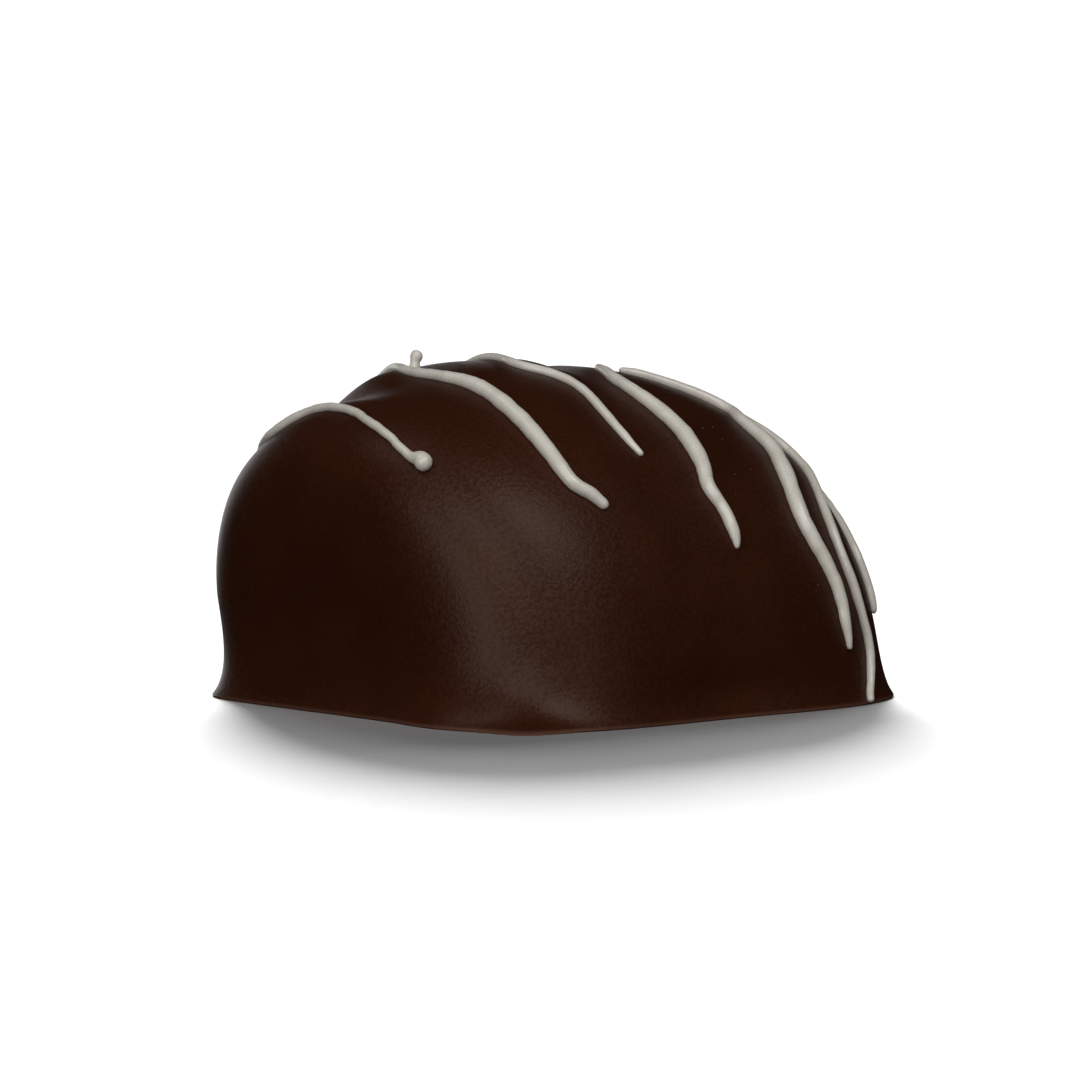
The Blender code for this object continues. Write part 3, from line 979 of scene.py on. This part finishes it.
class OBJECT_OT_date_drizzle(bpy.types.Operator):
    """Lays the white chocolate strands over the coating, with the tail that broke off one of them"""

    bl_idname = "object.date_drizzle"
    bl_label = "Drizzle"

    def execute(self, context):
        sizes = settings().drizzle
        finish = white_chocolate("white_chocolate", sizes)
        guides = put_in_scene("drizzle_guides", flat_curves("drizzle_guides", STRANDS))
        strands = grow(guides, strand_tree(), {
            "Coating": bpy.data.objects["coating"],
            "Lift": sizes.lift,
            "Step": sizes.step,
            "Sides": sizes.sides,
            "Wobble": sizes.wobble,
            "Thinning": sizes.thinning,
            "Material": finish,
        })
        stub = put_in_scene("drizzle_tail_guide", tail_curve())
        tail = grow(stub, tail_tree(), {"Sides": sizes.sides, "Material": finish})
        joined = bmesh.new()
        joined.from_mesh(strands)
        joined.from_mesh(tail)
        bmesh.ops.recalc_face_normals(joined, faces=joined.faces[:])
        joined.to_mesh(strands)
        joined.free()
        bpy.data.objects.remove(guides)
        bpy.data.objects.remove(stub)
        hand_over(put_in_scene("drizzle", strands))
        return {"FINISHED"}


class OBJECT_OT_date_specks(bpy.types.Operator):
    """Places the small white specks, and scatters a few more over the back"""

    bl_idname = "object.date_specks"
    bl_label = "Specks"

    def execute(self, context):
        sizes = settings().drizzle
        places = bpy.data.meshes.new("speck_places")
        places.from_pydata([(s.along * MM, s.around * MM, s.radius * MM) for s in SPECKS], [], [])
        guide = put_in_scene("speck_places", places)
        specks = grow(guide, speck_tree(), {
            "Coating": bpy.data.objects["coating"],
            "Material": white_chocolate("white_specks", sizes, sizes.speck_paleness),
        })
        bpy.data.objects.remove(guide)
        hand_over(put_in_scene("specks", specks))
        return {"FINISHED"}


class OBJECT_OT_date_studio(bpy.types.Operator):
    """Makes the floor, the lights and the camera"""

    bl_idname = "object.date_studio"
    bl_label = "Studio"

    def execute(self, context):
        sizes = settings().studio
        make_lights(sizes, make_floor(sizes))
        make_camera()
        return {"FINISHED"}


def make_floor(sizes):
    """Pale board. It isn't seen in the chocolate's gloss, as if the sweet stood on a black card."""
    disc = bmesh.new()
    bmesh.ops.create_circle(disc, cap_ends=True, segments=FLOOR_SIDES, radius=FLOOR_RADIUS)
    mesh = bpy.data.meshes.new("floor")
    disc.to_mesh(mesh)
    disc.free()
    mesh.materials.append(floor_finish(tuple(sizes.floor_colour)))
    floor = put_in_scene("floor", mesh)
    floor.visible_glossy = False
    floor.visible_diffuse = False
    floor.visible_shadow = False
    return floor


def aim(light, azimuth, elevation, distance):
    """Places a light round the sweet's middle, facing it. Azimuth 0 is in front, 90 at the right."""
    a, e = math.radians(azimuth), math.radians(elevation)
    back = Vector((math.sin(a) * math.cos(e), -math.cos(a) * math.cos(e), math.sin(e)))
    light.location = CAMERA_TARGET + back * distance
    light.rotation_euler = back.to_track_quat("Z", "Y").to_euler()


def soft_light(name, place, size, power, lit):
    """Rectangular soft light of this width and height, aimed at the sweet. The floor has its own."""
    data = bpy.data.lights.new(name, "AREA")
    data.shape = "RECTANGLE"
    data.size, data.size_y = size
    data.energy = power
    light = put_in_scene(name, data)
    light.visible_camera = False
    light.light_linking.receiver_collection = lit
    aim(light, *place)


def lit_collection(name, floor, link_state):
    """Objects that a light reaches: the floor alone, or everything but the floor."""
    lit = bpy.data.collections.new(name)
    lit.objects.link(floor)
    lit.collection_objects[0].light_linking.link_state = link_state
    return lit


def make_lights(sizes, floor):
    """Soft lights on the sweet, suns on the floor, and a dim world that the camera sees as white."""
    sweet_only = lit_collection("All but the floor", floor, "EXCLUDE")
    for name, place, size, share in SOFT_LIGHTS:
        soft_light(name, place, size, share * sizes.sweet_power, sweet_only)
    floor_only = lit_collection("The floor alone", floor, "INCLUDE")
    for name, azimuth, elevation, angle, strength in FLOOR_LIGHTS:
        data = bpy.data.lights.new(name, "SUN")
        data.energy = strength * sizes.floor_power
        data.angle = math.radians(angle)
        floor_light = put_in_scene(name, data)
        aim(floor_light, azimuth, elevation, 1.0)
        floor_light.light_linking.receiver_collection = floor_only

    world = bpy.data.worlds.new("studio")
    world.use_nodes = True
    tree = world.node_tree
    seen = add(tree, "ShaderNodeLightPath").outputs["Is Camera Ray"]
    strength = add(tree, "ShaderNodeMapRange", {"Value": seen, "To Min": sizes.ambient, "To Max": 1.0})
    tree.links.new(strength.outputs[0], tree.nodes["Background"].inputs["Strength"])
    tree.nodes["Background"].inputs["Color"].default_value = (1.0, 1.0, 1.0, 1.0)
    bpy.context.scene.world = world
    bpy.context.scene.view_settings.view_transform = "Standard"


def make_camera():
    """Camera at its place round the sweet, without depth of field."""
    data = bpy.data.cameras.new("camera")
    data.lens = CAMERA_LENS
    data.shift_x, data.shift_y = CAMERA_SHIFT
    data.clip_start = 10 * MM
    data.clip_end = 10.0
    camera = put_in_scene("camera", data)
    level = math.cos(CAMERA_ELEVATION)
    forward = Vector((
        math.sin(CAMERA_AZIMUTH) * level,
        math.cos(CAMERA_AZIMUTH) * level,
        -math.sin(CAMERA_ELEVATION),
    ))
    camera.location = CAMERA_TARGET - forward * CAMERA_DISTANCE
    camera.rotation_euler = forward.to_track_quat("-Z", "Y").to_euler()
    bpy.context.scene.camera = camera


class VIEW3D_PT_chocolate_date(bpy.types.Panel):
    """Sizes, colours and buttons of the chocolate-covered date"""

    bl_label = "Chocolate-Covered Date"
    bl_idname = "VIEW3D_PT_chocolate_date"
    bl_space_type = "VIEW_3D"
    bl_region_type = "UI"
    bl_category = "Date"

    def draw(self, context):
        for group in (settings().coating, settings().drizzle, settings().studio):
            box = self.layout.box()
            for name in group.bl_rna.properties.keys():
                if name not in {"rna_type", "name"}:
                    box.prop(group, name)
        for operator in OPERATORS:
            self.layout.operator(operator.bl_idname)


OPERATORS = (
    OBJECT_OT_date_coating,
    OBJECT_OT_date_drizzle,
    OBJECT_OT_date_specks,
    OBJECT_OT_date_studio,
)
CLASSES = (
    DateCoatingSettings,
    DateDrizzleSettings,
    DateStudioSettings,
    ChocolateDateSettings,
    *OPERATORS,
    VIEW3D_PT_chocolate_date,
)


def register():
    for cls in CLASSES:
        bpy.utils.register_class(cls)
    bpy.types.Scene.chocolate_date = PointerProperty(type=ChocolateDateSettings)


def unregister():
    del bpy.types.Scene.chocolate_date
    for cls in reversed(CLASSES):
        bpy.utils.unregister_class(cls)


def main():
    register()
    bpy.ops.object.date_coating()
    bpy.ops.object.date_drizzle()
    bpy.ops.object.date_specks()
    bpy.ops.object.date_studio()


if __name__ == "__main__":
    main()
